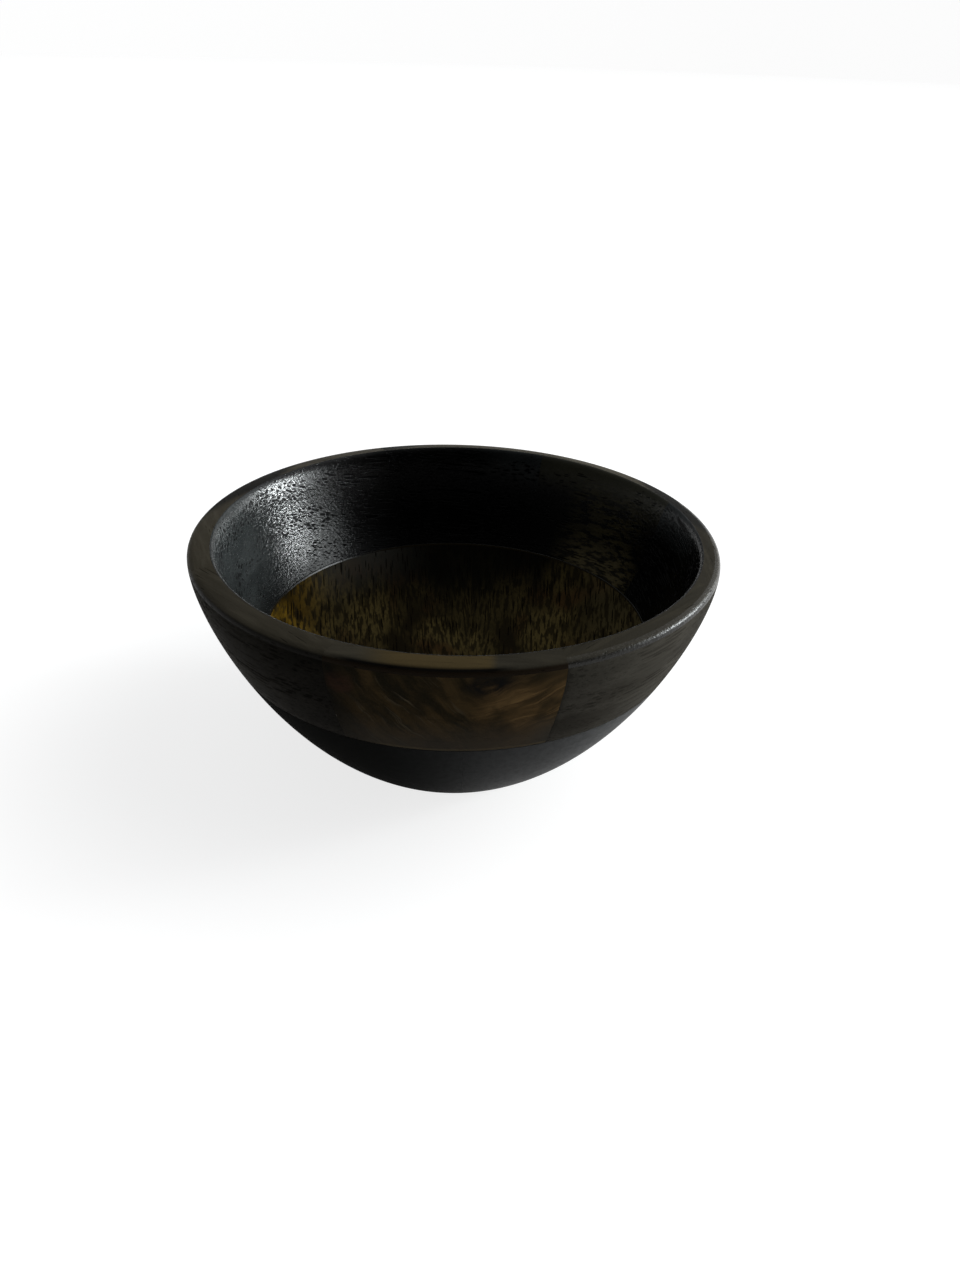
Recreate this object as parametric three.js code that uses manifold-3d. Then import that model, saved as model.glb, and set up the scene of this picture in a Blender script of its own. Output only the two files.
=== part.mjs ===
// A wooden serving bowl, glued up from blocks and boards and then turned on a lathe as one form.
// A ring of mitred blocks makes the upper wall. It stands on a base of two edge-glued boards,
// which holds the lower wall, the floor and the flat foot.
// Millimetres, +Z up. The origin is the middle of the foot, on the table, and -Y is the front.

import * as THREE from 'three';
import { mergeVertices } from 'three/addons/utils/BufferGeometryUtils.js';
import Module from 'manifold-3d';

// Overall form
const RIM_RADIUS = 100; // widest outer radius, just below the rim
const OVERALL_HEIGHT = 90.3; // table to the corner that the inner lip rounds off
const FOOT_RADIUS = 45; // flat foot

// Rim
const RIM_WIDTH = 9.2; // from the widest radius in to the corner that the inner lip rounds off
const RIM_FALL = 1.3; // the rim's face falls this much from the inner corner to the outer one
const RIM_OUTER_EASING = 2.3; // rounding of the outer edge
const RIM_INNER_EASING = 1.8; // rounding of the inner lip on the rim's face
const INNER_LIP_DROP = 10; // rounding of the inner lip down the wall, long and soft

// Outer wall: leaves the foot at an angle and comes up square to the rim
const FOOT_EASING = 0.9; // rounding of the foot's edge
const FOOT_FLARE_DEGREES = 35.4; // slope of the wall where it leaves the foot
const FOOT_FLARE_REACH = 46.6; // how far that slope pulls the wall's curve
const OUTER_RIM_REACH = 11.8; // how far the upright at the rim pulls the wall's curve

// Inside: a bowl-shaped curve from the rim down to a floor that is level in the middle
const FLOOR_THICKNESS = 13;
const INNER_RIM_LEAN_DEGREES = 16; // the inner wall leans in from the rim by this much
const INNER_RIM_REACH = 53.4; // how far that lean pulls the inner curve
const FLOOR_REACH = 52; // how far the level floor pulls the inner curve

// Glue-up
const BASE_HEIGHT = 50.2; // thickness of the base boards, up to the seam round the bowl
const BOARD_JOINT_X = 6; // joint between the two base boards, right of the middle
const GLUE_LINE = 0.3; // gap between neighbouring pieces, filled with glue on the real bowl
const BLOCK_PLACES = ['right', 'back_right', 'back', 'back_left', 'left', 'front_left', 'front', 'front_right'];

// Facets: an odd number for each block, so that a joint cuts through the middle of a facet
const FACETS_PER_BLOCK = 9;
const WALL_STEPS = 12;
const FLOOR_STEPS = 16;
const EASING_STEPS = 3;
const LIP_STEPS = 6;

const DARK_STAIN = { color: '#1d1a16', roughness: 0.38, metalness: 0 };
const FIGURED_STAIN = { color: '#3a2a1a', roughness: 0.4, metalness: 0 };
const BASE_STAIN = { color: '#2a2413', roughness: 0.42, metalness: 0 };

const blockCount = BLOCK_PLACES.length;
const blockAngle = (2 * Math.PI) / blockCount;
const blankReach = 2 * RIM_RADIUS;

const wasm = await Module();
wasm.setup();

const point = (radius, height) => new THREE.Vector2(radius, height);

// A step of the given length along a direction, counted in degrees up from level and outwards
function step(from, length, degrees) {
  const angle = THREE.MathUtils.degToRad(degrees);
  return point(from.x + length * Math.cos(angle), from.y + length * Math.sin(angle));
}

// Points of a curve after its first one, which the stretch before it already holds
const following = (curve, count) => curve.getPoints(count).slice(1);

// A corner rounded between two points that lie either side of it
const easing = (from, corner, to, steps) => following(new THREE.QuadraticBezierCurve(from, corner, to), steps);

// Half of the bowl's section: out along the foot, up the outer wall, over the rim and down to the floor
function turnedProfile() {
  const footMiddle = point(0, 0);
  const footCorner = point(FOOT_RADIUS, 0);
  const footStart = step(footCorner, FOOT_EASING, 180);
  const wallStart = step(footCorner, FOOT_EASING, FOOT_FLARE_DEGREES);

  const outerCorner = point(RIM_RADIUS, OVERALL_HEIGHT - RIM_FALL);
  const innerCorner = point(RIM_RADIUS - RIM_WIDTH, OVERALL_HEIGHT);
  const rimSlope = THREE.MathUtils.radToDeg(Math.atan2(RIM_FALL, -RIM_WIDTH));
  const wallEnd = step(outerCorner, RIM_OUTER_EASING, -90);
  const rimOuter = step(outerCorner, RIM_OUTER_EASING, rimSlope);
  const rimInner = step(innerCorner, RIM_INNER_EASING, rimSlope - 180);

  const innerLean = -90 - INNER_RIM_LEAN_DEGREES;
  const innerStart = step(innerCorner, INNER_LIP_DROP, innerLean);
  const floorMiddle = point(0, FLOOR_THICKNESS);

  const outerWall = new THREE.CubicBezierCurve(
    wallStart,
    step(footCorner, FOOT_FLARE_REACH, FOOT_FLARE_DEGREES),
    step(wallEnd, OUTER_RIM_REACH, -90),
    wallEnd,
  );
  const innerWall = new THREE.CubicBezierCurve(
    innerStart,
    step(innerCorner, INNER_RIM_REACH, innerLean),
    step(floorMiddle, FLOOR_REACH, 0),
    floorMiddle,
  );
  return [
    footMiddle,
    footStart,
    ...easing(footStart, footCorner, wallStart, EASING_STEPS),
    ...following(outerWall, WALL_STEPS),
    ...easing(wallEnd, outerCorner, rimOuter, EASING_STEPS),
    rimInner,
    ...easing(rimInner, innerCorner, innerStart, LIP_STEPS),
    ...following(innerWall, FLOOR_STEPS),
  ];
}

// A closed solid of a geometry, with its shared corners merged and its empty triangles left out
function solidOf(geometry) {
  geometry.deleteAttribute('normal');
  geometry.deleteAttribute('uv');
  const merged = mergeVertices(geometry);
  const corners = merged.index.array;
  const triangles = [];
  for (let i = 0; i < corners.length; i += 3) {
    const [a, b, c] = corners.slice(i, i + 3);
    if (a !== b && b !== c && c !== a) triangles.push(a, b, c);
  }
  const mesh = new wasm.Mesh({
    numProp: 3,
    vertProperties: merged.attributes.position.array,
    triVerts: Uint32Array.from(triangles),
  });
  return new wasm.Manifold(mesh);
}

function geometryOf(solid) {
  const mesh = solid.getMesh();
  const geometry = new THREE.BufferGeometry();
  geometry.setAttribute('position', new THREE.BufferAttribute(mesh.vertProperties, 3));
  geometry.setIndex(new THREE.BufferAttribute(mesh.triVerts, 1));
  geometry.computeVertexNormals();
  return geometry;
}

// The whole bowl as the lathe leaves it. Every piece is the share of it that lies in the piece's blank.
function turnedForm() {
  const lathe = new THREE.LatheGeometry(turnedProfile(), blockCount * FACETS_PER_BLOCK);
  lathe.rotateX(Math.PI / 2);
  return solidOf(lathe);
}

// Blank of the ring block that points along +X: a wedge with its two mitres drawn in by half a glue line
function blockBlank() {
  const halfAngle = blockAngle / 2;
  const tip = GLUE_LINE / 2 / Math.sin(halfAngle);
  const halfWidth = (blankReach - tip) * Math.tan(halfAngle);
  const wedge = new THREE.Shape();
  wedge.moveTo(tip, 0);
  wedge.lineTo(blankReach, -halfWidth);
  wedge.lineTo(blankReach, halfWidth);
  wedge.closePath();
  const blank = new THREE.ExtrudeGeometry(wedge, { depth: OVERALL_HEIGHT, bevelEnabled: false });
  blank.translate(0, 0, BASE_HEIGHT + GLUE_LINE);
  return solidOf(blank);
}

// Blank of a base board on one side of the board joint: side is -1 for the left one, 1 for the right one
function boardBlank(side) {
  const blank = new THREE.BoxGeometry(blankReach, 2 * blankReach, 2 * BASE_HEIGHT);
  blank.translate(BOARD_JOINT_X + (side * (blankReach + GLUE_LINE)) / 2, 0, 0);
  return solidOf(blank);
}

function piece(name, geometry, stain) {
  const mesh = new THREE.Mesh(geometry, new THREE.MeshStandardMaterial(stain));
  mesh.name = name;
  return mesh;
}

function wallRing(form) {
  const ring = new THREE.Group();
  const block = geometryOf(form.intersect(blockBlank()));
  BLOCK_PLACES.forEach((place, turn) => {
    const stain = place === 'front' ? FIGURED_STAIN : DARK_STAIN;
    const mesh = piece(`ring_block_${place}`, block, stain);
    mesh.rotation.z = turn * blockAngle;
    ring.add(mesh);
  });
  return ring;
}

function base(form) {
  const boards = new THREE.Group();
  boards.add(piece('base_board_left', geometryOf(form.intersect(boardBlank(-1))), BASE_STAIN));
  boards.add(piece('base_board_right', geometryOf(form.intersect(boardBlank(1))), BASE_STAIN));
  return boards;
}

const form = turnedForm();
const bowl = new THREE.Group();
bowl.name = 'serving_bowl';
bowl.add(wallRing(form), base(form));

export default bowl;
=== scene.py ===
"""Looks of a dark-stained wooden serving bowl: a ring of glued wall blocks on a base of two boards.

Metres, +Z up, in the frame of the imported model. The front of the bowl faces -Y.
"""

from collections import namedtuple
import math

import bmesh
import bpy
from mathutils import Matrix, Vector


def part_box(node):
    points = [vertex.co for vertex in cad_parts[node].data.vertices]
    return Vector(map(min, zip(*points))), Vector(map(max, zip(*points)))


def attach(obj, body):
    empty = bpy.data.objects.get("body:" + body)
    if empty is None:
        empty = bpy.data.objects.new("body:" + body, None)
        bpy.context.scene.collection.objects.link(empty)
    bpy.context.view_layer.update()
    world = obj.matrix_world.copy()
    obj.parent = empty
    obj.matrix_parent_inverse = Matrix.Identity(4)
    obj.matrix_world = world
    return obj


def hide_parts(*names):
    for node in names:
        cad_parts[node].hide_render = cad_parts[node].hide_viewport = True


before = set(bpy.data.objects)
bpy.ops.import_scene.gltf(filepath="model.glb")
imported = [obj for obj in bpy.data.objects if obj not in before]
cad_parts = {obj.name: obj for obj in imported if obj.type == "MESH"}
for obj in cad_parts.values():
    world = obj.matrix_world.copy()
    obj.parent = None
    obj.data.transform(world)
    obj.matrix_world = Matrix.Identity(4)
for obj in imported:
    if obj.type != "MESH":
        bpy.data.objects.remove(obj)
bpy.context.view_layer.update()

MM = 0.001

# Form of the turned bowl, as in the solids
RIM_RADIUS = 100 * MM
RIM_TOP = 90.3 * MM
RIM_WIDTH = 9.2 * MM
RIM_FALL = 1.3 * MM
RIM_OUTER_EASING = 2.3 * MM
RIM_INNER_EASING = 1.8 * MM
INNER_LIP_DROP = 10 * MM
FOOT_RADIUS = 45 * MM
FOOT_EASING = 0.9 * MM
FOOT_FLARE = math.radians(35.4)
FOOT_FLARE_REACH = 46.6 * MM
OUTER_RIM_REACH = 11.8 * MM
FLOOR_THICKNESS = 13 * MM
INNER_RIM_LEAN = math.radians(16)
INNER_RIM_REACH = 53.4 * MM
FLOOR_REACH = 52 * MM
SEAM_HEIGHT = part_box("base_board_left")[1].z
BOARD_JOINT_X = (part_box("base_board_left")[1].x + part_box("base_board_right")[0].x) / 2
BORE_SHIFT = 1.0 * MM  # the hollow was turned a little to the right of the outside

# Seams: the edges along them are eased a little, and glue fills what is left
SEAM_EASING = 0.22 * MM
BASE_LIP_HEIGHT = 0.6 * MM  # the base's inner edge at the seam, worn to a narrow bevel
BASE_LIP_WIDTH = 0.33 * MM
GLUE_FILM = 0.03 * MM

# Steps of the turned surfaces
STEPS_PER_BLOCK = 45
WALL_STEPS = 70
EASING_STEPS = 8
LIP_STEPS = 24
SHARP_ANGLE = math.radians(40)

# Zones of a piece's surface, in the order of its materials. The base has its inner lip in the rim's place.
OUTSIDE, INSIDE, RIM, RIM_EDGE = range(4)
BASE_LIP = RIM

# Blocks of the wall ring, from the right towards the back, and the looks of those that are not plain
BLOCK_PLACES = ["right", "back_right", "back", "back_left", "left", "front_left", "front", "front_right"]
BLOCK_ANGLE = 2 * math.pi / len(BLOCK_PLACES)
FRONT = BLOCK_PLACES.index("front")
BLOCK_LOOKS = {"front": "figured_ring_wood", "front_right": "ring_wood", "right": "ring_wood",
               "back_right": "rippled_ring_wood"}
PLAIN_LOOK = "dull_ring_wood"

# Timber, in millimetres and degrees.
# A block's grain leans up by its first angle and into the wall by its second.
GRAIN_LEAN = {"right": (6, 4), "back_right": (-4, 3), "back": (3, 2), "back_left": (5, -22),
              "left": (-3, 20)}
LEAN_MIDDLE = Vector((85, 0, 70))  # the place in a block that its grain leans about
OWN_TIMBER = Vector((137.0, 253.0, 0.0))  # each block is cut from a place of its own in the plank
RIPPLE_MIDDLE = (BLOCK_PLACES.index("back_right") - FRONT) * OWN_TIMBER.y  # middle of the rippled block
BOARD_GRAIN = {"left": 8, "right": -3}  # how far the grain of each base board turns from the bowl's Y
BAND_SPACING = 14.5  # bands of wide pores in the wall blocks, one above the other
BAND_START = 68.5
SEAM_PORES = 52, 62  # heights above the table: the pores are few just above the seam
SEAM_STAIN = 50, 62  # heights between which the other stain comes up to its full share
RIM_ROUNDING = 88.0, 88.9  # heights of the rounded outer edge of the rim
RIM_FACE_EDGE = 88.8, 89.4

# Where the looks change round the bowl: arcs and fades in degrees from the right towards the back.
# A fade, a rise in height and each end of an arc say where the change begins and where it is complete.
# Painted sheen: the inside at the left is painted lighter for the window's reflection, and a band under the
# rim at the back right is painted lighter too.
SHEEN_ARC = (140, 172), (196, 214)
LIP_BAND_ARC = (-5, 15), (58, 90)
LIP_BAND_RISE = 75 * MM, 87 * MM
# Painted sheen on the base's wall inside at the back left, under the seam.
FLOOR_SHEEN_ARC = (98, 128), (136, 156)
FLOOR_SHEEN_RISE = 33 * MM, 49 * MM
SHINE_ARC = (108, 132), (262, 300)
SUNKEN_SHINE = 0.15
GLINT_ARC = (108, 140), (158, 168)
# Painted light: the outside is painted paler on the lit right side and less so round the back.
PAINTED_LIGHT_ARC = (-68, -67), (222, 246)
PAINTED_LIGHT_RIGHT_FADE = -48, -20
PAINTED_LIGHT_LEFT_FADE = 180, 202
# Painted light: the rim is painted lighter from the back right round to the left.
RIM_LIGHT_ARC = (5, 30), (248, 262)
RIM_LEFT_FADE = 196, 216
BACK_RIM_ARC = (50, 75), (135, 160)
# The base's outside is smoother and painted lighter towards the right as painted light, and a little round
# the back left.
BACK_LEFT_ARC = (60, 110), (180, 210)
POLISH_AND_LIGHT_RISE = -45 * MM, 50 * MM  # along X

# Camera, fitted to the photograph's 960 by 1280 frame
FRAME_HEIGHT = 1280
FOCAL_PIXELS = 1100
SENSOR = 36.0
CAMERA_PLACE = Vector((10.6 * MM, -384.1 * MM, 264.0 * MM))
CAMERA_PITCH = math.radians(29.95)
CAMERA_ROLL = math.radians(1.82)

# Stage
BACKDROP_RADIUS = 6.0
BACKDROP_RISE = math.radians(16)
STAGE_SIDES = 128
PAINT = (0.3, 0.3, 0.3, 1)
LIFT = 0.95  # how much whiter the camera sees the floor than it is lit
LIFT_FADE = 0.36, 1.35  # heights on the backdrop between which the lift is lost
SHADE = 0.17  # share of the lift that is lost in the bowl's shadow
SHADE_MIDDLE = (-0.07, -0.01, 0.0)
SHADE_REACH = 0.05, 0.17

# Light: a soft window with a bright middle, and faint glows of the room. Angles are in degrees.
# A glow goes from nothing to its strength between two cosines of the angle from its middle.
Lamp = namedtuple("Lamp", "azimuth elevation half_width half_height radiance")
Glow = namedtuple("Glow", "azimuth elevation start end strength")
LAMPS = {"window": Lamp(14, 12.5, 24, 13, 4.0), "window_middle": Lamp(14, 11.5, 5.5, 4.5, 58.0)}
LAMP_DISTANCE = 2.5
LAMP_AIM = Vector((0, 0, 0.07))
LAMP_COLOUR = (0.94, 0.99, 1.0)
GLOWS = [Glow(90, 20, -0.7, 0.2, 0.2), Glow(42, 20, 0.75, 0.97, 0.6), Glow(0, 90, 0.6, 0.9, 0.25)]
GLOW_COLOUR = (0.95, 0.98, 1, 1)


# Profile curves

def polar(start, length, angle):
    return Vector((start.x + length * math.cos(angle), start.y + length * math.sin(angle)))


def bezier(points, steps):
    """Points along a curve with any number of control points, both ends included."""
    degree = len(points) - 1
    curve = []
    for i in range(steps + 1):
        t = i / steps
        weights = [math.comb(degree, k) * t ** k * (1 - t) ** (degree - k) for k in range(degree + 1)]
        curve.append(sum((w * p for w, p in zip(weights, points)), Vector((0, 0))))
    return curve


def outer_profile():
    """From the edge of the foot up the outer wall to the outer edge of the rim's face."""
    corner = Vector((FOOT_RADIUS, 0))
    foot_end = polar(corner, FOOT_EASING, math.pi)
    wall_start = polar(corner, FOOT_EASING, FOOT_FLARE)
    rim_corner = Vector((RIM_RADIUS, RIM_TOP - RIM_FALL))
    wall_end = polar(rim_corner, RIM_OUTER_EASING, -math.pi / 2)
    face_start = polar(rim_corner, RIM_OUTER_EASING, math.atan2(RIM_FALL, -RIM_WIDTH))
    flare = polar(corner, FOOT_FLARE_REACH, FOOT_FLARE)
    upright = polar(wall_end, OUTER_RIM_REACH, -math.pi / 2)
    foot = bezier([foot_end, corner, wall_start], EASING_STEPS)
    wall = bezier([wall_start, flare, upright, wall_end], WALL_STEPS)
    rim = bezier([wall_end, rim_corner, face_start], EASING_STEPS)
    return foot + wall[1:] + rim[1:]


def inner_profile():
    """From the inner edge of the rim's face down the inner wall to the middle of the floor."""
    corner = Vector((RIM_RADIUS - RIM_WIDTH, RIM_TOP))
    face_end = polar(corner, RIM_INNER_EASING, math.atan2(-RIM_FALL, RIM_WIDTH))
    lean = -math.pi / 2 - INNER_RIM_LEAN
    wall_start = polar(corner, INNER_LIP_DROP, lean)
    wall_pull = polar(corner, INNER_RIM_REACH, lean)
    floor = Vector((0, FLOOR_THICKNESS))
    floor_pull = polar(floor, FLOOR_REACH, 0)
    rim = bezier([face_end, corner, wall_start], LIP_STEPS)
    wall = bezier([wall_start, wall_pull, floor_pull, floor], WALL_STEPS)
    return rim + wall[1:]


def cut_at(profile, height, keep_above):
    """The stretch of a profile above or below a height, with a new end point on the cut."""
    kept = []
    for a, b in zip(profile, profile[1:]):
        if (a.y > height) == keep_above:
            kept.append(a)
        if (a.y > height) != (b.y > height):
            kept.append(a.lerp(b, (height - a.y) / (b.y - a.y)))
    if (profile[-1].y > height) == keep_above:
        kept.append(profile[-1])
    return kept


# A corner of a section: the inside is bored off centre, and the zone is that of the face after the corner
Corner = namedtuple("Corner", "radius height bored zone")


def ring_section():
    """Closed section of the wall ring, from the seam outside over the rim to the seam inside."""
    bottom = SEAM_HEIGHT + GLUE_FILM
    outer = cut_at(outer_profile(), bottom + SEAM_EASING, True)
    inner = cut_at(inner_profile(), bottom + SEAM_EASING, True)
    edge_start = len(outer) - 1 - EASING_STEPS
    section = [Corner(p.x, p.y, False, OUTSIDE) for p in outer[:edge_start]]
    section += [Corner(p.x, p.y, False, RIM_EDGE) for p in outer[edge_start:-1]]
    section.append(Corner(outer[-1].x, outer[-1].y, False, RIM))
    section += [Corner(p.x, p.y, True, INSIDE) for p in inner]
    section.append(Corner(inner[-1].x + SEAM_EASING, bottom, True, INSIDE))
    section.append(Corner(outer[0].x - SEAM_EASING, bottom, False, OUTSIDE))
    return section


def base_section():
    """Section of the whole base, from the middle of the foot round to the middle of the floor."""
    outer = cut_at(outer_profile(), SEAM_HEIGHT - SEAM_EASING, False)
    inner = cut_at(inner_profile(), SEAM_HEIGHT - BASE_LIP_HEIGHT, False)
    section = [Corner(0, 0, False, OUTSIDE)]
    section += [Corner(p.x, p.y, False, OUTSIDE) for p in outer]
    section.append(Corner(outer[-1].x - SEAM_EASING, SEAM_HEIGHT, False, OUTSIDE))
    section.append(Corner(inner[0].x + BASE_LIP_WIDTH, SEAM_HEIGHT, True, BASE_LIP))
    return section + [Corner(p.x, p.y, True, INSIDE) for p in inner]


# Meshes

def turned_point(corner, angle):
    shift = BORE_SHIFT if corner.bored else 0
    return Vector((corner.radius * math.cos(angle) + shift, corner.radius * math.sin(angle), corner.height))


def turned_row(mesh, section, angle):
    return [mesh.verts.new(turned_point(corner, angle)) for corner in section]


def new_piece(name, mesh_data):
    mesh = bpy.data.meshes.new(name)
    bmesh.ops.recalc_face_normals(mesh_data, faces=mesh_data.faces)
    mesh_data.to_mesh(mesh)
    mesh_data.free()
    mesh.shade_smooth()
    mesh.set_sharp_from_angle(angle=SHARP_ANGLE)
    piece = bpy.data.objects.new(name, mesh)
    bpy.context.collection.objects.link(piece)
    return piece


def ring_block(name, turn):
    """One block of the wall ring: the section swept through the block's share of the circle."""
    section = ring_section()
    half = BLOCK_ANGLE / 2 - GLUE_FILM / 2 / RIM_RADIUS
    mesh = bmesh.new()
    rows = []
    for i in range(STEPS_PER_BLOCK + 1):
        angle = turn - half + 2 * half * i / STEPS_PER_BLOCK
        rows.append(turned_row(mesh, section, angle))
    count = len(section)
    for row, following in zip(rows, rows[1:]):
        for k, corner in enumerate(section):
            n = (k + 1) % count
            face = mesh.faces.new((row[k], row[n], following[n], following[k]))
            face.material_index = corner.zone
    mesh.faces.new(rows[0])
    mesh.faces.new(reversed(rows[-1]))
    return new_piece(name, mesh)


def turned_base():
    """The whole base before it is parted at the board joint."""
    section = base_section()
    steps = STEPS_PER_BLOCK * len(BLOCK_PLACES)
    mesh = bmesh.new()
    foot_middle = mesh.verts.new(turned_point(section[0], 0))
    floor_middle = mesh.verts.new(turned_point(section[-1], 0))
    between = section[1:-1]
    rows = [turned_row(mesh, between, 2 * math.pi * i / steps) for i in range(steps)]
    for row, following in zip(rows, rows[1:] + rows[:1]):
        mesh.faces.new((foot_middle, row[0], following[0]))
        middle = mesh.faces.new((floor_middle, following[-1], row[-1]))
        middle.material_index = INSIDE
        for k in range(len(row) - 1):
            face = mesh.faces.new((row[k], row[k + 1], following[k + 1], following[k]))
            face.material_index = between[k].zone
    return mesh


def base_board(name, side):
    """The part of the base on one side of the board joint: side is -1 for left, 1 for right."""
    mesh = turned_base()
    place = Vector((BOARD_JOINT_X + side * GLUE_FILM / 2, 0, 0))
    everything = mesh.verts[:] + mesh.edges[:] + mesh.faces[:]
    cut = bmesh.ops.bisect_plane(mesh, geom=everything, dist=1e-7, plane_co=place,
                                 plane_no=(-side, 0, 0), clear_outer=True)
    edges = [item for item in cut["geom_cut"] if isinstance(item, bmesh.types.BMEdge)]
    bmesh.ops.contextual_create(mesh, geom=edges)
    return new_piece(name, mesh)


# Values stored on the points of a piece

def store_grain(piece, turn, shift, lean):
    """Keeps each point's place in the piece's own timber, in millimetres, with Y along the grain."""
    rise, dive = [math.radians(angle) for angle in lean]
    straight = Matrix.Scale(1 / MM, 3) @ Matrix.Rotation(-turn, 3, "Z")
    leaning = Matrix.Rotation(-rise, 3, "X") @ Matrix.Rotation(-dive, 3, "Z")
    places = []
    for vertex in piece.data.vertices:
        place = straight @ vertex.co
        places.append(leaning @ (place - LEAN_MIDDLE) + LEAN_MIDDLE + Vector(shift))
    layer = piece.data.attributes.new("grain", "FLOAT_VECTOR", "POINT")
    layer.data.foreach_set("vector", [value for place in places for value in place])


def store_value(piece, name, value):
    """Keeps what a function gives for each point's place."""
    layer = piece.data.attributes.new(name, "FLOAT", "POINT")
    layer.data.foreach_set("value", [value(vertex.co) for vertex in piece.data.vertices])


def smooth(value, start, end):
    """A smooth change from 0 to 1 as the value goes from start to end."""
    share = min(max((value - start) / (end - start), 0.0), 1.0)
    return share * share * (3 - 2 * share)


def degrees_round(place, start):
    """Degrees round the bowl from the right towards the back, counted from the given start."""
    return (math.degrees(math.atan2(place.y, place.x)) - start) % 360 + start


def on_arc(place, begin, end):
    """1 on an arc round the bowl and 0 off it, with a smooth change at each end."""
    around = degrees_round(place, begin[0])
    return smooth(around, *begin) * (1 - smooth(around, *end))


def painted_sheen_and_lip_band(place):
    """The inside is painted lighter and bluish grey at the left as a painted sheen of the window, and
    lighter under the rim at the back right.
    """
    lip = smooth(place.z, *LIP_BAND_RISE) * on_arc(place, *LIP_BAND_ARC)
    return max(on_arc(place, *SHEEN_ARC), lip)


def floor_painted_sheen(place):
    """Painted sheen: the base's wall inside at the back left, just under the seam, is painted grey for the
    window's reflection.
    """
    return smooth(place.z, *FLOOR_SHEEN_RISE) * on_arc(place, *FLOOR_SHEEN_ARC)


def lacquer_shine(place):
    """The lacquer inside still shines round the left. Elsewhere it has sunk in."""
    return SUNKEN_SHINE + (1 - SUNKEN_SHINE) * on_arc(place, *SHINE_ARC)


def lip_glint(place):
    """The lip of the base catches the light at the left only."""
    return on_arc(place, *GLINT_ARC)


def painted_light_paleness(place):
    """Painted light: the outside is painted palest right of the front block, on the lit side, fades round
    the back and is dark left of the front.
    """
    around = degrees_round(place, PAINTED_LIGHT_ARC[0][0])
    faded = 0.5 * smooth(around, *PAINTED_LIGHT_RIGHT_FADE) + 0.24 * smooth(around, *PAINTED_LIGHT_LEFT_FADE)
    return (1 - faded) * on_arc(place, *PAINTED_LIGHT_ARC)


def rim_painted_light(place):
    """Painted light: the rim's stain is painted lighter from the back right round to the left, a little less
    at the back.
    """
    begin, end = RIM_LIGHT_ARC
    around = degrees_round(place, begin[0])
    front = 0.6 * smooth(around, *RIM_LEFT_FADE) + 0.4 * smooth(around, *end)
    return smooth(around, *begin) * (1 - front) - 0.27 * on_arc(place, *BACK_RIM_ARC)


def polish_and_painted_light(place):
    """The base is dull at the left and smoother to the right, where its colour is also painted lighter as
    painted light; round the back left it is a little smoother and lighter.
    """
    return max(smooth(place.x, *POLISH_AND_LIGHT_RISE), 0.35 * on_arc(place, *BACK_LEFT_ARC))


# Stains and finishes

Stain = namedtuple("Stain", "deep middle pale pit")
Finish = namedtuple("Finish", "roughness specular relief")


def colour(red, green, blue):
    return (red, green, blue, 1.0)


BLACK = colour(0, 0, 0)
WHITE = colour(1, 1, 1)

# Ring
GREY_STAIN = Stain(colour(0.010, 0.009, 0.007), colour(0.017, 0.0155, 0.013),
                   colour(0.026, 0.023, 0.019), colour(0.004, 0.0035, 0.003))
# Painted light: the paler stain of the lit side.
PAINTED_LIGHT_STAIN = Stain(colour(0.052, 0.046, 0.037), colour(0.074, 0.067, 0.055),
                   colour(0.094, 0.085, 0.07), colour(0.016, 0.014, 0.012))
BLACK_STAIN = Stain(colour(0.0008, 0.0008, 0.0007), colour(0.0012, 0.0012, 0.001),
                    colour(0.002, 0.0019, 0.0016), colour(0.0006, 0.0006, 0.0006))
# Painted sheen of the inside at the left, also the lighter band under the rim at the back right.
SHEEN_AND_LIP_STAIN = Stain(colour(0.023, 0.026, 0.026), colour(0.034, 0.039, 0.039),
                   colour(0.045, 0.05, 0.05), colour(0.004, 0.004, 0.004))
BROWN_STAIN = Stain(colour(0.011, 0.009, 0.004), colour(0.023, 0.019, 0.008),
                    colour(0.038, 0.031, 0.011), colour(0.001, 0.001, 0.0008))
LIP_BROWN = colour(0.042, 0.04, 0.026)
# Also painted on the right of the floor as painted light, where that floor lies in shade.
SEAM_BROWN = colour(0.11, 0.088, 0.04)

# Rim
RIM_STAIN = Stain(colour(0.034, 0.029, 0.020), colour(0.046, 0.040, 0.029),
                  colour(0.058, 0.050, 0.035), colour(0.004, 0.0035, 0.003))
# Painted light: the rim's stain where it is painted lighter.
RIM_LIT_STAIN = Stain(colour(0.074, 0.063, 0.043), colour(0.094, 0.081, 0.058),
                   colour(0.112, 0.098, 0.070), colour(0.006, 0.005, 0.004))
TAN_STAIN = Stain(colour(0.074, 0.052, 0.022), colour(0.104, 0.074, 0.032),
                  colour(0.125, 0.089, 0.039), colour(0.008, 0.006, 0.004))
EDGE_BROWN = colour(0.018, 0.012, 0.007)

# Front block
FIGURED_STAIN = Stain(colour(0.029, 0.025, 0.016), colour(0.132, 0.086, 0.038),
                      colour(0.19, 0.148, 0.092), colour(0.02, 0.019, 0.018))
TAWNY_STAIN = Stain(colour(0.085, 0.056, 0.027), colour(0.2, 0.122, 0.052),
                    colour(0.36, 0.215, 0.09), colour(0.03, 0.023, 0.016))
LOW_BROWN = colour(0.107, 0.09, 0.07)
RUST = colour(0.1, 0.05, 0.034)
SPECK = colour(0.3, 0.26, 0.22)

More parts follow.
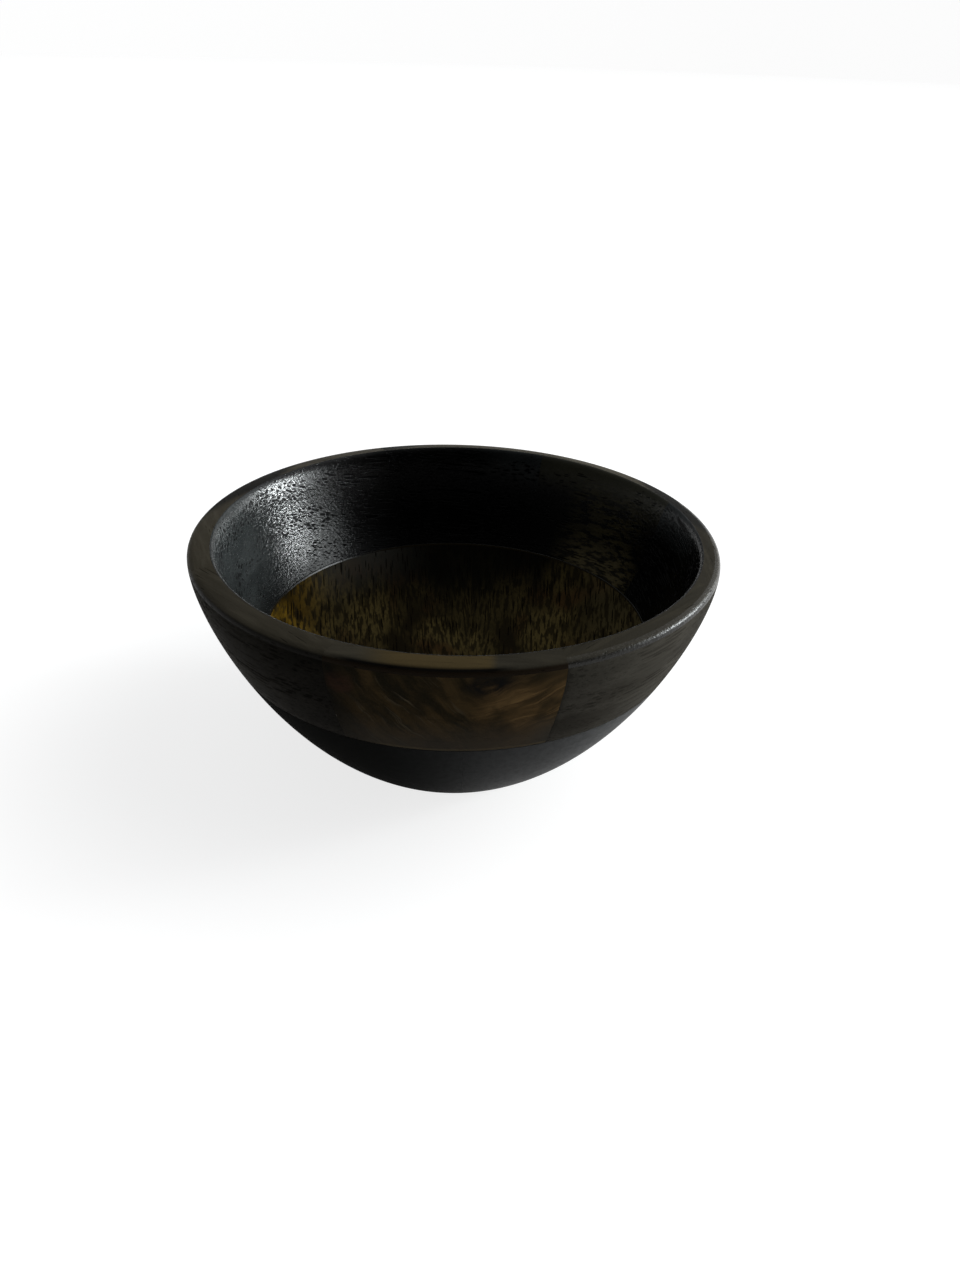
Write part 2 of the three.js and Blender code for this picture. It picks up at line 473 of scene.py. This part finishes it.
# Base
OLIVE_STAIN = Stain(colour(0.020, 0.015, 0.007), colour(0.088, 0.066, 0.024),
                    colour(0.14, 0.104, 0.036), colour(0.006, 0.0045, 0.003))
YELLOW_STAIN = Stain(colour(0.03, 0.017, 0.002), colour(0.165, 0.094, 0.009),
                     colour(0.25, 0.146, 0.014), colour(0.005, 0.003, 0.001))
SMOOTH_STAIN = Stain(colour(0.020, 0.0195, 0.018), colour(0.052, 0.052, 0.051),
                     colour(0.088, 0.089, 0.089), colour(0.02, 0.02, 0.02))
RED_BROWN = colour(0.07, 0.036, 0.014)
END_GRAIN = colour(0.004, 0.004, 0.003)
# Painted sheen: the grey of the window's reflection on the base's wall inside.
FLOOR_SHEEN_PAINT = colour(0.12, 0.116, 0.1)

# Relief is the depth of the open grain in millimetres
RUBBED = Finish(0.6, 0.006, 0.03)
EVEN = Finish(0.45, 0.012, 0.015)
DULL = Finish(0.45, 0.03, 0.05)
POLISHED = Finish(0.27, 0.21, 0.16)
LACQUER = Finish(0.155, 0.5, 0.155)
GLOSSY = Finish(0.25, 1.0, 0.05)
MATTE = Finish(0.6, 0.02, 0.1)
ROUGHNESS_SPREAD = 0.07


# Nodes

class Nodes:
    """Short calls for building the nodes of a material or of the world."""

    def __init__(self, owner):
        owner.use_nodes = True
        self.tree = owner.node_tree

    def set(self, socket, value):
        if isinstance(value, bpy.types.NodeSocket):
            self.tree.links.new(value, socket)
        else:
            socket.default_value = value

    def node(self, kind, inputs, **settings):
        made = self.tree.nodes.new(kind)
        for key, value in settings.items():
            setattr(made, key, value)
        for key, value in inputs.items():
            self.set(made.inputs[key], value)
        return made

    def axis(self, vector, name):
        return self.node("ShaderNodeSeparateXYZ", {"Vector": vector}).outputs[name]

    def vector(self, operation, a, b, output="Vector"):
        return self.node("ShaderNodeVectorMath", {0: a, 1: b}, operation=operation).outputs[output]

    def math(self, operation, a, b=0.0):
        return self.node("ShaderNodeMath", {0: a, 1: b}, operation=operation).outputs["Value"]

    def plus(self, a, b):
        return self.math("ADD", a, b)

    def minus(self, a, b):
        return self.math("SUBTRACT", a, b)

    def times(self, *values):
        product = values[0]
        for value in values[1:]:
            product = self.math("MULTIPLY", product, value)
        return product

    def step(self, value, start, end, low=0.0, high=1.0):
        """A smooth change from low to high as the value goes from start to end."""
        inputs = {"Value": value, "From Min": start, "From Max": end, "To Min": low, "To Max": high}
        made = self.node("ShaderNodeMapRange", inputs, interpolation_type="SMOOTHSTEP")
        return made.outputs["Result"]

    def between(self, value, start, end, soft):
        """1 between start and end, with soft ends."""
        rise = self.step(value, start - soft, start + soft)
        fall = self.step(value, end - soft, end + soft, 1.0, 0.0)
        return self.times(rise, fall)


class Wood(Nodes):
    """One wood material, with its patterns in the timber's own millimetres."""

    def __init__(self, name):
        self.material = bpy.data.materials.new(name)
        super().__init__(self.material)
        self.shader = self.tree.nodes["Principled BSDF"]
        self.place = self.stored("grain", "Vector")
        self.grain = self.wander(self.place, (0.02, 0.008, 0.02), (5.0, 5.0, 5.0))

    def stored(self, name, output="Fac"):
        return self.node("ShaderNodeAttribute", {}, attribute_name=name).outputs[output]

    def mapped(self, vector, scale=(1, 1, 1), turn=(0, 0, 0), shift=(0, 0, 0)):
        inputs = {"Vector": vector, "Scale": scale, "Rotation": turn, "Location": shift}
        return self.node("ShaderNodeMapping", inputs).outputs["Vector"]

    def noise_node(self, vector, detail, roughness):
        inputs = {"Vector": vector, "Scale": 1.0, "Detail": detail, "Roughness": roughness}
        return self.node("ShaderNodeTexNoise", inputs)

    def noise(self, scale, detail=2.0, roughness=0.5, shift=(0, 0, 0)):
        """Noise through the timber. The scale is in features per millimetre along each axis."""
        return self.noise_node(self.mapped(self.grain, scale, shift=shift), detail, roughness).outputs["Fac"]

    def wander(self, vector, scale, amount):
        """The vector moved about by a slow noise, up to half the amount each way."""
        drift = self.noise_node(self.mapped(vector, scale), 2.0, 0.5).outputs["Color"]
        drift = self.vector("SUBTRACT", drift, (0.5, 0.5, 0.5))
        return self.vector("ADD", vector, self.vector("MULTIPLY", drift, amount))

    def mix(self, share, a, b):
        made = self.node("ShaderNodeMix", {"Factor": share}, data_type="RGBA")
        self.set(made.inputs[6], a)
        self.set(made.inputs[7], b)
        return made.outputs[2]

    def pores(self, spacing, size, crowd=1.0, flat=1.0, length=7.0):
        """Vessels along the grain, cut open by the surface. 1 in a pore, 0 on the wood between.

        crowd is 1 where they are widest and 0 where there are none. A flat value under 1 draws the
        vessels out in height, so that a level surface cuts them long, up to about the given length.
        """
        scale = (1 / spacing, 1 / spacing, flat / spacing)
        place = self.mapped(self.grain, scale, turn=(-math.pi / 2, 0, 0))
        inputs = {"Vector": place, "Scale": 1.0, "Randomness": 1.0}
        cells = self.node("ShaderNodeTexVoronoi", inputs, voronoi_dimensions="2D")
        own = self.node("ShaderNodeSeparateColor", {"Color": cells.outputs["Color"]}).outputs["Red"]
        reach = self.step(own, 0.0, 0.8, 0.3 * size / spacing, size / spacing)
        broken = self.noise((0.3, 1 / length, 0.3 * flat), 1.0)
        reach = self.times(reach, self.step(broken, 0.3, 0.45), crowd)
        inside = self.minus(reach, cells.outputs["Distance"])
        return self.step(inside, -0.03, 0.06)

    def porous_bands(self):
        """Bands of wide vessels at the start of each growth layer, one above the other."""
        height = self.axis(self.wander(self.place, (0.03, 0.02, 0.03), (6, 6, 6)), "Z")
        turns = self.math("DIVIDE", self.minus(height, BAND_START), BAND_SPACING / (2 * math.pi))
        patchy = self.noise((0.07, 0.05, 0.07), 2.0, shift=(5, 9, 2))
        wave = self.plus(self.math("COSINE", turns), self.step(patchy, 0.3, 0.7, -0.9, 0.9))
        return self.step(wave, -0.4, 0.6, 0.12, 1.0)

    def stained(self, stain, layers):
        """Stain that lies deeper in some growth layers and along some fibres than in others."""
        blotch = self.noise((0.04, 0.018, 0.04), 3.0)
        fibre = self.noise((0.9, 0.035, 0.9), 3.0, 0.6, shift=(40, 0, 0))
        tone = self.mix(self.step(blotch, 0.36, 0.62), stain.deep, stain.middle)
        tone = self.mix(self.step(layers, 0.42, 0.68), tone, stain.pale)
        return self.mix(self.step(fibre, 0.45, 0.75, 0.0, 0.7), tone, stain.deep)

    def finished(self, tone, pores, finish, wear=0.0, shine=1.0):
        """The material with its tone, the relief of its open grain and its finish.

        Wear makes the surface duller than the finish, and a shine under 1 takes from its reflections.
        """
        fibre = self.noise((0.9, 0.12, 0.9), 3.0, 0.65)
        dimple = self.noise((1.1, 0.8, 1.1), 2.0, 0.6, shift=(2, 8, 4))
        cloud = self.noise((0.9, 0.5, 0.9), 3.0, 0.7, shift=(7, 3, 1))
        relief = self.plus(dimple, self.times(fibre, 0.5))
        relief = self.minus(relief, self.times(pores, 0.6))
        inputs = {"Height": relief, "Strength": 1.0, "Distance": finish.relief * MM}
        bump = self.node("ShaderNodeBump", inputs).outputs["Normal"]
        smoothest = finish.roughness - ROUGHNESS_SPREAD
        roughest = finish.roughness + ROUGHNESS_SPREAD
        dullness = self.step(cloud, 0.25, 0.75, smoothest, roughest)
        dullness = self.plus(dullness, self.times(pores, 0.3))
        dullness = self.plus(dullness, wear)
        shine = self.times(shine, self.step(pores, 0.0, 1.0, 1.0, 0.03))
        self.set(self.shader.inputs["Base Color"], tone)
        self.set(self.shader.inputs["Roughness"], dullness)
        self.set(self.shader.inputs["Specular Tint"], self.mix(shine, BLACK, WHITE))
        self.set(self.shader.inputs["Normal"], bump)
        self.shader.inputs["Specular IOR Level"].default_value = finish.specular
        return self.material


# Wood of the ring. Heights are above the table and places along a block from its middle, in millimetres.

def ring_wood(name, stain, other_stain, finish, pore_depth, seam_share=1.0):
    """Dark wall blocks. The stored value of the same name leads some blocks to the other stain, which is
    painted light: paler on the lit side outside, and inside a painted sheen at the left and a lighter band
    under the rim at the back right.

    Down at the seam only the given share of the other stain is left.
    """
    wood = Wood(name)
    layers = wood.noise((0.12, 0.02, 0.12), 3.0, 0.6, shift=(1, 4, 6))
    up = wood.axis(wood.place, "Z")
    crowd = wood.times(wood.porous_bands(), wood.step(up, *SEAM_PORES, 0.3, 1.0))
    wide_pores = wood.pores(1.25, 0.5, crowd)
    fine_pores = wood.times(wood.pores(0.95, 0.22), 0.75)
    pores = wood.math("MAXIMUM", wide_pores, fine_pores)
    share = wood.times(wood.stored(name), wood.step(up, *SEAM_STAIN, seam_share, 1.0))
    tone = wood.mix(share, wood.stained(stain, layers), wood.stained(other_stain, layers))
    tone = wood.mix(wood.times(pores, pore_depth), tone, stain.pit)
    return wood.finished(tone, pores, finish, shine=wood.stored("shine"))


def rippled_wood(name, finish):
    """Inside of the back right block: olive brown with short dark ripples, black at its ends."""
    wood = Wood(name)
    layers = wood.noise((0.12, 0.05, 0.12), 3.0, 0.6, shift=(1, 4, 6))
    ripples = wood.noise((0.35, 0.16, 0.6), 2.0, 0.6, shift=(6, 2, 9))
    pores = wood.pores(1.25, 0.4, wood.porous_bands())
    tone = wood.mix(wood.step(ripples, 0.42, 0.56), BROWN_STAIN.pit, wood.stained(BROWN_STAIN, layers))
    along = wood.minus(wood.axis(wood.place, "Y"), RIPPLE_MIDDLE)
    up = wood.axis(wood.place, "Z")
    low = wood.times(wood.step(up, 52, 66, 0.85, 0.0), wood.step(ripples, 0.4, 0.58, 0.15, 0.9))
    tone = wood.mix(low, tone, SEAM_BROWN)
    tone = wood.mix(wood.between(along, -26, 12, 9.0), BLACK_STAIN.middle, tone)
    tone = wood.mix(wood.times(wood.stored("ring_inside"), 0.8), tone, LIP_BROWN)
    tone = wood.mix(wood.times(pores, 0.8), tone, BROWN_STAIN.pit)
    return wood.finished(tone, pores, finish, shine=wood.stored("shine"))


def rim_wood(name, finish, patch=False):
    """The rim, with its stain painted lighter in places as painted light. The front block has a tan patch
    and a dark outer edge.
    """
    wood = Wood(name)
    pores = wood.pores(1.7, 0.22)
    up = wood.axis(wood.place, "Z")
    layers = wood.noise((0.3, 0.03, 0.3), 3.0, 0.6, shift=(1, 4, 6))
    unlit_tone = wood.stained(RIM_STAIN, layers)
    # Painted light: the rim is painted lighter where its stored value says.
    tone = wood.mix(wood.stored("rim"), unlit_tone, wood.stained(RIM_LIT_STAIN, layers))
    if patch:
        along = wood.axis(wood.place, "Y")
        tan = wood.times(wood.step(along, -29, -14), wood.step(along, 13, 17, 1.0, 0.0))
        tone = wood.mix(tan, tone, wood.stained(TAN_STAIN, pores))
        edge = wood.step(up, *RIM_FACE_EDGE, 1.0, 0.0)
        tone = wood.mix(wood.times(edge, wood.between(along, -33, 20, 5.0)), tone, RIM_STAIN.pit)
    rounding = EDGE_BROWN if patch else GREY_STAIN.middle
    tone = wood.mix(wood.step(up, *RIM_ROUNDING, 1.0, 0.0), tone, rounding)
    tone = wood.mix(wood.times(pores, 0.5), tone, RIM_STAIN.pit)
    return wood.finished(tone, pores, finish)


def figured_wood(name, finish):
    """The front block's outside: streaks fall from the left and tawny wisps rise to the right end."""
    wood = Wood(name)
    height = wood.axis(wood.place, "Z")
    loose = wood.wander(wood.place, (0.07, 0.07, 0.07), (6.0, 7.0, 7.0))
    along = wood.axis(loose, "Y")
    up = wood.axis(loose, "Z")

    def streaks(slope, width, length):
        """Noise drawn out along lines of one slope."""
        across = wood.math("DIVIDE", wood.minus(up, wood.times(along, slope)), width)
        down = wood.math("DIVIDE", wood.plus(along, wood.times(up, slope)), length)
        place = wood.node("ShaderNodeCombineXYZ", {"X": across, "Y": down, "Z": slope}).outputs["Vector"]
        return wood.noise_node(place, 3.0, 0.55).outputs["Fac"]

    def spot(y, z, reach, squash=1.0):
        """1 at a place of the block's face, 0 past its reach, which the squash makes less in height."""
        face = wood.vector("MULTIPLY", loose, (0, 1, squash))
        away = wood.vector("DISTANCE", face, (0, y, z * squash), "Value")
        return wood.step(away, 0.3 * reach, reach, 1.0, 0.0)

    broad = wood.step(streaks(-1.3, 9.0, 40.0), 0.34, 0.66)
    falling = wood.mix(broad, FIGURED_STAIN.deep, FIGURED_STAIN.middle)
    bright = wood.times(wood.step(streaks(-1.3, 2.6, 34.0), 0.55, 0.72), wood.between(along, -28, 6, 4.0))
    falling = wood.mix(bright, falling, FIGURED_STAIN.pale)

    broad = wood.step(streaks(0.45, 7.0, 30.0), 0.32, 0.64)
    rising = wood.mix(broad, TAWNY_STAIN.deep, TAWNY_STAIN.middle)
    wisps = wood.times(wood.step(streaks(0.4, 2.2, 26.0), 0.5, 0.7), wood.step(up, 60, 70))
    rising = wood.mix(wisps, rising, TAWNY_STAIN.pale)
    top = wood.times(wood.step(height, 80, 86, 0.0, 0.8), wood.step(along, 30, 38, 1.0, 0.6))
    rising = wood.mix(top, rising, FIGURED_STAIN.deep)

    tone = wood.mix(wood.step(along, 8, 18), falling, rising)
    ragged = wood.step(streaks(0.4, 4.0, 9.0), 0.35, 0.6, 0.35, 1.0)
    tone = wood.mix(wood.times(spot(14, 84.5, 11, 1.7), ragged), tone, FIGURED_STAIN.pit)
    cloud = wood.noise((0.05, 0.07, 0.07), 3.0)
    tone = wood.mix(wood.step(cloud, 0.5, 0.68, 0.0, 0.7), tone, FIGURED_STAIN.deep)
    tone = wood.mix(wood.step(up, 52, 70, 0.8, 0.0), tone, LOW_BROWN)
    tone = wood.mix(wood.step(along, -38, -19, 0.9, 0.0), tone, wood.stained(GREY_STAIN, cloud))
    tone = wood.mix(wood.times(spot(-33, 80, 6), ragged, 0.6), tone, RUST)
    # Painted light: the lower right corner takes the paler stain painted on the lit right side.
    right_corner = wood.times(wood.step(along, 24, 37), wood.step(up, 56, 70, 0.85, 0.0))
    tone = wood.mix(right_corner, tone, PAINTED_LIGHT_STAIN.middle)
    # Painted highlight: a pale line just above the seam, where the eased edge would catch the light.
    painted_seam_highlight = wood.times(wood.between(height, 50.5, 51.6, 0.3), wood.step(along, -26, -16, 0.0, 0.6))
    tone = wood.mix(painted_seam_highlight, tone, FIGURED_STAIN.pale)
    tone = wood.mix(spot(-35, 62, 0.9), tone, SPECK)
    pores = wood.pores(1.8, 0.16)
    tone = wood.mix(wood.times(pores, 0.3), tone, FIGURED_STAIN.pit)
    return wood.finished(tone, pores, finish)


# Wood of the base

def base_inside(name, finish):
    """The floor: olive side grain with short dark pores, darker where the wall cuts across the grain."""
    wood = Wood(name)
    pores = wood.pores(1.15, 0.27, 1.0, 0.12, 3.2)
    patches = wood.noise((0.05, 0.03, 0.05), 3.0, shift=(3.6, 1.2, 2))
    across = wood.axis(wood.place, "X")
    yellow = wood.stained(YELLOW_STAIN, patches)
    tone = wood.mix(wood.step(across, -70, -46), yellow, wood.stained(OLIVE_STAIN, patches))
    reddish = wood.noise((0.06, 0.05, 0.05), 2.0, shift=(1, 7, 3))
    reddish = wood.times(wood.step(reddish, 0.48, 0.66, 0.0, 0.8), wood.step(across, -56, -40))
    tone = wood.mix(reddish, tone, RED_BROWN)
    # Painted light: the right of the floor is painted lighter brown, where it lies in shade.
    tone = wood.mix(wood.step(across, 46, 64, 0.0, 0.55), tone, SEAM_BROWN)
    lines = wood.noise((0.75, 0.17, 0.1), 2.0, 0.6, shift=(9, 2, 7))
    tone = wood.mix(wood.step(lines, 0.46, 0.58, 0.0, 0.85), tone, OLIVE_STAIN.deep)
    facing = wood.node("ShaderNodeNewGeometry", {}).outputs["Normal"]
    end_grain = wood.math("ABSOLUTE", wood.axis(facing, "Y"))
    tone = wood.mix(wood.step(end_grain, 0.5, 0.78, 0.0, 0.95), tone, END_GRAIN)
    # Painted sheen: grey painted on the base's wall inside at the back left.
    tone = wood.mix(wood.times(wood.stored(name), 0.45), tone, FLOOR_SHEEN_PAINT)
    tone = wood.mix(wood.times(pores, 0.9), tone, OLIVE_STAIN.pit)
    return wood.finished(tone, pores, finish)


def base_lip(name, finish):
    """The narrow bevel of the base at the seam inside, where the lacquer stands proud and glossy."""
    wood = Wood(name)
    pores = wood.pores(1.9, 0.12)
    cloud = wood.noise((0.05, 0.05, 0.05))
    glint = wood.stored(name)
    tone = wood.mix(glint, OLIVE_STAIN.deep, wood.stained(BLACK_STAIN, cloud))
    return wood.finished(tone, pores, finish, shine=glint)


def base_outside(name, finish):
    """Smooth and nearly black, dull at the left and smoother towards the right, where it is painted paler as
    painted light.
    """
    wood = Wood(name)
    pores = wood.pores(1.9, 0.12)
    polish_and_light = wood.stored(name)
    # Painted light: the colour is paler towards the right, where the light falls.
    tone = wood.mix(wood.step(polish_and_light, 0.0, 0.55), SMOOTH_STAIN.deep, SMOOTH_STAIN.middle)
    tone = wood.mix(wood.step(polish_and_light, 0.45, 1.0), tone, SMOOTH_STAIN.pale)
    streaks = wood.noise((0.3, 0.012, 0.3), 4.0, 0.6, shift=(4, 1, 8))
    tone = wood.mix(wood.step(streaks, 0.4, 0.66, 0.0, 0.3), tone, SMOOTH_STAIN.deep)
    return wood.finished(tone, pores, finish, wood.step(polish_and_light, 0.05, 0.85, 0.6, 0.0))


# Bowl

def make_materials():
    """Materials of each look in the order of the zones."""
    outside = ring_wood("ring_outside", GREY_STAIN, PAINTED_LIGHT_STAIN, RUBBED, 0.3)
    inside = ring_wood("ring_inside", BLACK_STAIN, SHEEN_AND_LIP_STAIN, LACQUER, 0.95, 0.4)
    rippled = rippled_wood("rippled_inside", LACQUER)
    figured = figured_wood("figured_outside", RUBBED)
    rim = rim_wood("rim", DULL)
    rim_edge = rim_wood("rim_edge", POLISHED)
    figured_rim = rim_wood("figured_rim", DULL, True)
    floor = base_inside("base_inside", MATTE)
    return {
        "ring_wood": (outside, inside, rim, rim_edge),
        "dull_ring_wood": (outside, inside, rim, rim),
        "rippled_ring_wood": (outside, rippled, rim, rim),
        "figured_ring_wood": (figured, inside, figured_rim, figured_rim),
        "base_wood": (base_outside("base_outside", EVEN), floor, base_lip("base_lip", GLOSSY)),
    }


def finish_piece(piece, node, materials, values):
    for name, value in values.items():
        store_value(piece, name, value)
    for material in materials:
        piece.data.materials.append(material)
    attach(piece, "root")
    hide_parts(node)


def make_bowl():
    materials = make_materials()
    # Stored values: the paleness, the rim's lighter stain and the base's lighter right are painted light,
    # and the insides' lighter grey is painted sheen; shine and glint only scale real reflections.
    ring_values = {"ring_outside": painted_light_paleness, "ring_inside": painted_sheen_and_lip_band, "shine": lacquer_shine, "rim": rim_painted_light}
    base_values = {"base_outside": polish_and_painted_light, "base_inside": floor_painted_sheen, "base_lip": lip_glint}
    for index, place in enumerate(BLOCK_PLACES):
        turn = index * BLOCK_ANGLE
        node = f"ring_block_{place}"
        piece = ring_block(f"{node}_turned", turn)
        store_grain(piece, turn, (index - FRONT) * OWN_TIMBER, GRAIN_LEAN.get(place, (0, 0)))
        finish_piece(piece, node, materials[BLOCK_LOOKS.get(place, PLAIN_LOOK)], ring_values)
    for side, word in ((-1, "left"), (1, "right")):
        node = f"base_board_{word}"
        piece = base_board(f"{node}_turned", side)
        store_grain(piece, math.radians(BOARD_GRAIN[word]), (0, 0, 0), (0, 0))
        finish_piece(piece, node, materials["base_wood"], base_values)


# Stage, light and camera

def white_paint(name):
    """Pale paint that the camera and reflections see lifted to white. Other rays see it as it is lit."""
    paint = bpy.data.materials.new(name)
    nodes = Nodes(paint)
    rays = nodes.node("ShaderNodeLightPath", {}).outputs
    seen = rays["Is Camera Ray"]
    for word in ("Is Glossy Ray", "Is Transmission Ray"):
        seen = nodes.math("MAXIMUM", seen, rays[word])
    place = nodes.node("ShaderNodeNewGeometry", {}).outputs["Position"]
    away = nodes.vector("DISTANCE", place, SHADE_MIDDLE, "Value")
    shade = nodes.step(away, *SHADE_REACH, 1 - SHADE, 1)
    fade = nodes.step(nodes.axis(place, "Z"), *LIFT_FADE, LIFT, 0)
    shader = nodes.tree.nodes["Principled BSDF"]
    shader.inputs["Base Color"].default_value = PAINT
    shader.inputs["Roughness"].default_value = 0.9
    shader.inputs["Specular IOR Level"].default_value = 0.0
    shader.inputs["Emission Color"].default_value = WHITE
    nodes.set(shader.inputs["Emission Strength"], nodes.times(seen, shade, fade))
    return paint


def make_stage():
    paint = white_paint("studio_paint")
    bpy.ops.mesh.primitive_circle_add(vertices=STAGE_SIDES, radius=BACKDROP_RADIUS, fill_type="NGON")
    floor = bpy.context.object
    floor.name = "floor"
    rise = BACKDROP_RADIUS * math.tan(BACKDROP_RISE)
    bpy.ops.mesh.primitive_cylinder_add(vertices=STAGE_SIDES, radius=BACKDROP_RADIUS, depth=rise,
                                        end_fill_type="NOTHING", location=(0, 0, rise / 2))
    backdrop = bpy.context.object
    backdrop.name = "backdrop"
    for piece in (floor, backdrop):
        piece.data.materials.append(paint)


def direction(azimuth, elevation):
    """Unit vector towards a place in the room, from its angles in degrees."""
    turn = math.radians(azimuth)
    rise = math.radians(elevation)
    level = math.cos(rise)
    return Vector((math.cos(turn) * level, math.sin(turn) * level, math.sin(rise)))


def make_world():
    world = bpy.data.worlds.new("studio")
    bpy.context.scene.world = world
    nodes = Nodes(world)
    around = nodes.node("ShaderNodeTexCoord", {}).outputs["Generated"]
    strength = 0.0
    for glow in GLOWS:
        facing = nodes.vector("DOT_PRODUCT", around, direction(glow.azimuth, glow.elevation), "Value")
        strength = nodes.plus(strength, nodes.step(facing, glow.start, glow.end, 0.0, glow.strength))
    background = nodes.tree.nodes["Background"]
    background.inputs["Color"].default_value = GLOW_COLOUR
    nodes.set(background.inputs["Strength"], strength)


def make_lamps():
    for name, lamp in LAMPS.items():
        light = bpy.data.lights.new(name, "AREA")
        light.shape = "RECTANGLE"
        light.color = LAMP_COLOUR
        light.size = 2 * LAMP_DISTANCE * math.tan(math.radians(lamp.half_width))
        light.size_y = 2 * LAMP_DISTANCE * math.tan(math.radians(lamp.half_height))
        light.energy = lamp.radiance * math.pi * light.size * light.size_y
        towards = direction(lamp.azimuth, lamp.elevation)
        piece = bpy.data.objects.new(name, light)
        piece.location = LAMP_AIM + towards * LAMP_DISTANCE
        piece.rotation_mode = "QUATERNION"
        piece.rotation_quaternion = towards.to_track_quat("Z", "Y")
        piece.visible_camera = False
        bpy.context.collection.objects.link(piece)


def make_camera():
    data = bpy.data.cameras.new("camera")
    data.sensor_width = SENSOR
    data.lens = SENSOR * FOCAL_PIXELS / FRAME_HEIGHT
    data.clip_start = 0.01
    camera = bpy.data.objects.new("camera", data)
    looking = Matrix.Rotation(math.pi / 2 - CAMERA_PITCH, 4, "X") @ Matrix.Rotation(CAMERA_ROLL, 4, "Z")
    camera.matrix_world = Matrix.Translation(CAMERA_PLACE) @ looking
    bpy.context.collection.objects.link(camera)
    bpy.context.scene.camera = camera


make_bowl()
make_stage()
make_world()
make_lamps()
make_camera()
bpy.context.scene.view_settings.view_transform = "Standard"
